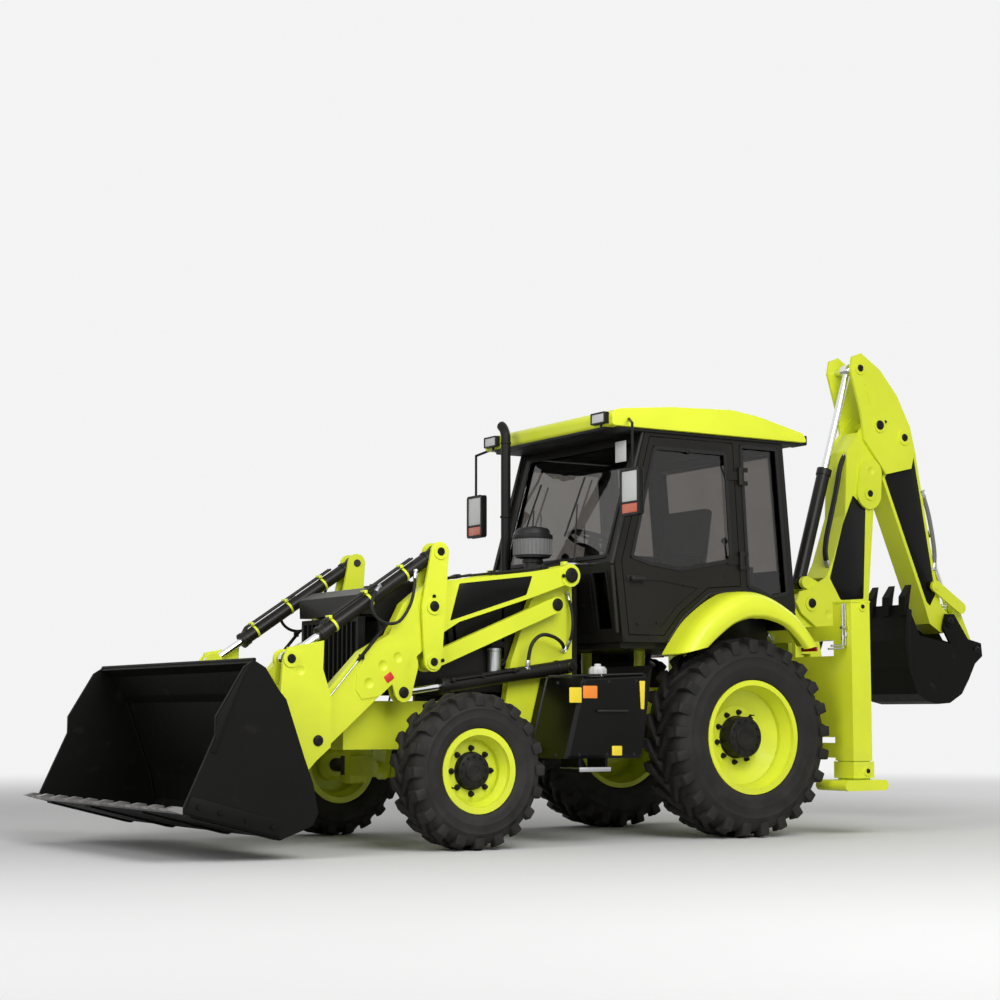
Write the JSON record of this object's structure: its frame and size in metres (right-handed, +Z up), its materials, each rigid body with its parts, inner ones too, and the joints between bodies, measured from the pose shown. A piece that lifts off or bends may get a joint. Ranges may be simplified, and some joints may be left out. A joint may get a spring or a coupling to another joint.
{
  "type": "backhoe loader",
  "caption": "Wheeled backhoe loader: front bucket on levelled arms, closed cab, rear digging arm on a sliding and swinging carriage, two outriggers.",
  "frame": {"origin": "middle of the whole machine's box in plan, on the floor it parks on", "axes": "+X forward (towards the front bucket), +Y to the machine's left, +Z up"},
  "size_m": [7.215, 2.38, 3.555],
  "materials": {
    "lime_paint": "gloss",
    "black_paint": "semi-gloss",
    "dark_steel": "satin",
    "worn_steel": "worn",
    "chrome": "polished",
    "tyre": "matte",
    "glass": "clear",
    "black_plastic": "textured",
    "lamp": "clear lens",
    "cast_iron": "rough"
  },
  "bodies": {
    "chassis": {"chassis_frame": "lime_paint", "engine_block": "cast_iron", "hood_cowl": "black_paint", "radiator_grille": "black_plastic", "exhaust_stack": "black_paint", "air_precleaner": "black_plastic", "front_axle": "lime_paint", "rear_axle": "cast_iron", "side_tanks": "black_paint", "cab_frame": "black_paint", "cab_roof": "lime_paint", "cab_glass": "glass", "operator_seat": "black_plastic", "cab_controls": "black_plastic", "rear_fenders": "lime_paint", "rear_slide_frame": "lime_paint", "work_lamps": "lamp", "mirrors": "black_plastic"},
    "knuckle_left": {"knuckle_left": "cast_iron"},
    "knuckle_right": {"knuckle_right": "cast_iron"},
    "wheel_front_left": {"tyre_front_left": "tyre", "rim_front_left": "lime_paint"},
    "wheel_front_right": {"tyre_front_right": "tyre", "rim_front_right": "lime_paint"},
    "wheel_rear_left": {"tyre_rear_left": "tyre", "rim_rear_left": "lime_paint"},
    "wheel_rear_right": {"tyre_rear_right": "tyre", "rim_rear_right": "lime_paint"},
    "door_left": {"door_left": "black_paint", "door_glass_left": "glass"},
    "door_right": {"door_right": "black_paint", "door_glass_right": "glass"},
    "hood": {"hood": "black_paint"},
    "loader_arms": {"loader_arms": "lime_paint"},
    "loader_levers": {"loader_levers": "lime_paint"},
    "tilt_cylinder_pins": {"tilt_cylinder_pins": "dark_steel"},
    "levelling_links": {"levelling_links": "lime_paint"},
    "tilt_barrels": {"tilt_barrels": "black_paint"},
    "tilt_rods": {"tilt_rods": "chrome"},
    "lift_barrels": {"lift_barrels": "black_paint"},
    "lift_rods": {"lift_rods": "chrome"},
    "hitch_shaft": {"hitch_shaft": "dark_steel"},
    "loader_bucket": {"loader_hitch": "lime_paint", "loader_bucket": "black_paint", "loader_bucket_teeth": "worn_steel"},
    "slide_carriage": {"slide_carriage": "lime_paint"},
    "kingpost": {"kingpost": "lime_paint"},
    "boom": {"boom": "lime_paint"},
    "boom_ram_barrel": {"boom_ram_barrel": "black_paint"},
    "boom_ram_rod": {"boom_ram_rod": "chrome"},
    "dipper": {"dipper": "lime_paint"},
    "dipper_ram_barrel": {"dipper_ram_barrel": "black_paint"},
    "dipper_ram_rod": {"dipper_ram_rod": "chrome"},
    "backhoe_bucket": {"backhoe_bucket": "black_paint"},
    "tipping_levers": {"tipping_levers": "lime_paint"},
    "tipping_link": {"tipping_link": "lime_paint"},
    "bucket_ram_barrel": {"bucket_ram_barrel": "black_paint"},
    "bucket_ram_rod": {"bucket_ram_rod": "chrome"},
    "stabilizer_left": {"stabilizer_left": "lime_paint"},
    "stabilizer_right": {"stabilizer_right": "lime_paint"}
  },
  "joints": [
    {"name": "wheel_front_left_spin", "type": "hinge", "parent": "knuckle_left", "child": "wheel_front_left", "pos_m": [1.5325, 0.91, 0.475], "axis": [0, 1, 0], "continuous": true},
    {"name": "wheel_front_right_spin", "type": "hinge", "parent": "knuckle_right", "child": "wheel_front_right", "pos_m": [1.5325, -0.91, 0.475], "axis": [0, 1, 0], "continuous": true},
    {"name": "wheel_rear_left_spin", "type": "hinge", "parent": "chassis", "child": "wheel_rear_left", "pos_m": [-0.6675, 0.76, 0.665], "axis": [0, 1, 0], "continuous": true},
    {"name": "wheel_rear_right_spin", "type": "hinge", "parent": "chassis", "child": "wheel_rear_right", "pos_m": [-0.6675, -0.76, 0.665], "axis": [0, 1, 0], "continuous": true},
    {"name": "steer_left", "type": "hinge", "parent": "chassis", "child": "knuckle_left", "pos_m": [1.5325, 0.66, 0.475], "axis": [0, 0, 1], "range_deg": [-28, 28]},
    {"name": "steer_right", "type": "hinge", "parent": "chassis", "child": "knuckle_right", "pos_m": [1.5325, -0.66, 0.475], "axis": [0, 0, 1], "range_deg": [-28.5, 28.5]},
    {"name": "door_left_hinge", "type": "hinge", "parent": "chassis", "child": "door_left", "pos_m": [-0.7295, 0.768, 2], "axis": [0, 0, 1], "range_deg": [0, 75]},
    {"name": "door_right_hinge", "type": "hinge", "parent": "chassis", "child": "door_right", "pos_m": [-0.7295, -0.768, 2], "axis": [0, 0, -1], "range_deg": [0, 75]},
    {"name": "hood_hinge", "type": "hinge", "parent": "chassis", "child": "hood", "pos_m": [1.0085, 0, 1.66], "axis": [0, -1, 0], "range_deg": [0, 50]},
    {"name": "loader_lift", "type": "hinge", "parent": "chassis", "child": "loader_arms", "pos_m": [0.5625, 0, 1.722], "axis": [0, -1, 0], "range_deg": [-3, 80]},
    {"name": "lever_turn", "type": "hinge", "parent": "loader_arms", "child": "loader_levers", "pos_m": [1.6095, 0, 1.488], "axis": [0, -1, 0], "range_deg": [-47.94, 1.8]},
    {"name": "levelling_link_turn", "type": "hinge", "parent": "loader_levers", "child": "levelling_links", "pos_m": [1.6105, 0, 1.141], "axis": [0, -1, 0], "range_deg": [-1.9, 50.69]},
    {"name": "tilt_pin_turn", "type": "hinge", "parent": "loader_levers", "child": "tilt_cylinder_pins", "pos_m": [1.5635, 0, 1.833], "axis": [0, -1, 0], "range_deg": [-1.64, 43.66]},
    {"name": "hitch_pin_turn", "type": "hinge", "parent": "loader_arms", "child": "hitch_shaft", "pos_m": [2.4075, 0, 0.66], "axis": [0, -1, 0], "range_deg": [-29.58, 1.11]},
    {"name": "bucket_tilt", "type": "hinge", "parent": "hitch_shaft", "child": "loader_bucket", "pos_m": [2.4075, 0, 0.66], "axis": [0, 1, 0], "range_deg": [-15, 72]},
    {"name": "tilt_barrel_turn", "type": "hinge", "parent": "tilt_cylinder_pins", "child": "tilt_barrels", "pos_m": [1.5635, 0, 1.833], "axis": [0, 1, 0], "range_deg": [-1.61, 7.75]},
    {"name": "tilt_rod_slide", "type": "slide", "parent": "tilt_barrels", "child": "tilt_rods", "axis": [0.8324, 0, -0.5541], "range_m": [-0.12325, 0.5916]},
    {"name": "lift_barrel_turn", "type": "hinge", "parent": "chassis", "child": "lift_barrels", "pos_m": [0.5475, 0, 1.131], "axis": [0, -1, 0], "range_deg": [-2.59, 69.03]},
    {"name": "lift_rod_slide", "type": "slide", "parent": "lift_barrels", "child": "lift_rods", "axis": [0.9899, 0, -0.1414], "range_m": [-0.02601, 0.6936]},
    {"name": "sideshift", "type": "slide", "parent": "chassis", "child": "slide_carriage", "axis": [0, 1, 0], "range_m": [-0.45, 0.45]},
    {"name": "backhoe_swing", "type": "hinge", "parent": "slide_carriage", "child": "kingpost", "pos_m": [-1.7875, 0, 0.9], "axis": [0, 0, 1], "range_deg": [-80, 80]},
    {"name": "boom_lower", "type": "hinge", "parent": "kingpost", "child": "boom", "pos_m": [-1.9025, 0, 1.635], "axis": [0, -1, 0], "range_deg": [-8, 50]},
    {"name": "boom_ram_turn", "type": "hinge", "parent": "kingpost", "child": "boom_ram_barrel", "pos_m": [-1.9575, 0, 1.13], "axis": [0, -1, 0], "range_deg": [-5.99, 37.43]},
    {"name": "boom_ram_slide", "type": "slide", "parent": "boom_ram_barrel", "child": "boom_ram_rod", "axis": [-0.3602, 0, 0.9329], "range_m": [-0.31549, 0.05048]},
    {"name": "dipper_open", "type": "hinge", "parent": "boom", "child": "dipper", "pos_m": [-2.5875, 0, 3.013], "axis": [0, 1, 0], "range_deg": [0, 100]},
    {"name": "dipper_ram_turn", "type": "hinge", "parent": "boom", "child": "dipper_ram_barrel", "pos_m": [-1.8795, 0, 1.79], "axis": [0, 1, 0], "range_deg": [0, 3.06]},
    {"name": "dipper_ram_slide", "type": "slide", "parent": "dipper_ram_barrel", "child": "dipper_ram_rod", "axis": [-0.3012, 0, 0.9535], "range_m": [-0.72318, 0]},
    {"name": "backhoe_bucket_open", "type": "hinge", "parent": "dipper", "child": "backhoe_bucket", "pos_m": [-3.2675, 0, 1.537], "axis": [0, 1, 0], "range_deg": [0, 100]},
    {"name": "tipping_lever_turn", "type": "hinge", "parent": "dipper", "child": "tipping_levers", "pos_m": [-3.1375, 0, 1.8], "axis": [0, 1, 0], "range_deg": [0, 115.36]},
    {"name": "tipping_link_turn", "type": "hinge", "parent": "backhoe_bucket", "child": "tipping_link", "pos_m": [-3.5475, 0, 1.317], "axis": [0, -1, 0], "range_deg": [0, 81.29]},
    {"name": "bucket_ram_turn", "type": "hinge", "parent": "dipper", "child": "bucket_ram_barrel", "pos_m": [-2.8375, 0, 2.935], "axis": [0, 1, 0], "range_deg": [0, 3.06]},
    {"name": "bucket_ram_slide", "type": "slide", "parent": "bucket_ram_barrel", "child": "bucket_ram_rod", "axis": [-0.3969, 0, -0.9179], "range_m": [-0.51918, 0]},
    {"name": "stabilizer_left_slide", "type": "slide", "parent": "chassis", "child": "stabilizer_left", "axis": [0, 0, -1], "range_m": [0, 0.295]},
    {"name": "stabilizer_right_slide", "type": "slide", "parent": "chassis", "child": "stabilizer_right", "axis": [0, 0, -1], "range_m": [0, 0.295]}
  ],
  "couplings": [
    {"joint": "steer_right", "follows": "steer_left", "ratio": 1},
    {"joint": "lever_turn", "follows": "loader_lift", "ratio": -0.5875},
    {"joint": "levelling_link_turn", "follows": "loader_lift", "ratio": 0.62125},
    {"joint": "tilt_pin_turn", "follows": "loader_lift", "ratio": 0.535},
    {"joint": "hitch_pin_turn", "follows": "loader_lift", "ratio": -0.3625},
    {"joint": "tilt_barrel_turn", "follows": "bucket_tilt", "ratio": 0.10556},
    {"joint": "tilt_rod_slide", "follows": "bucket_tilt", "m_per_rad": 0.46155},
    {"joint": "lift_barrel_turn", "follows": "loader_lift", "ratio": 0.846},
    {"joint": "lift_rod_slide", "follows": "loader_lift", "m_per_rad": 0.48701},
    {"joint": "boom_ram_turn", "follows": "boom_lower", "ratio": 0.734},
    {"joint": "boom_ram_slide", "follows": "boom_lower", "m_per_rad": -0.35443},
    {"joint": "dipper_ram_turn", "follows": "dipper_open", "ratio": 0.03},
    {"joint": "dipper_ram_slide", "follows": "dipper_open", "m_per_rad": -0.40623},
    {"joint": "tipping_lever_turn", "follows": "backhoe_bucket_open", "ratio": 1.131},
    {"joint": "tipping_link_turn", "follows": "backhoe_bucket_open", "ratio": 0.797},
    {"joint": "bucket_ram_turn", "follows": "backhoe_bucket_open", "ratio": 0.03},
    {"joint": "bucket_ram_slide", "follows": "backhoe_bucket_open", "m_per_rad": -0.29164}
  ]
}
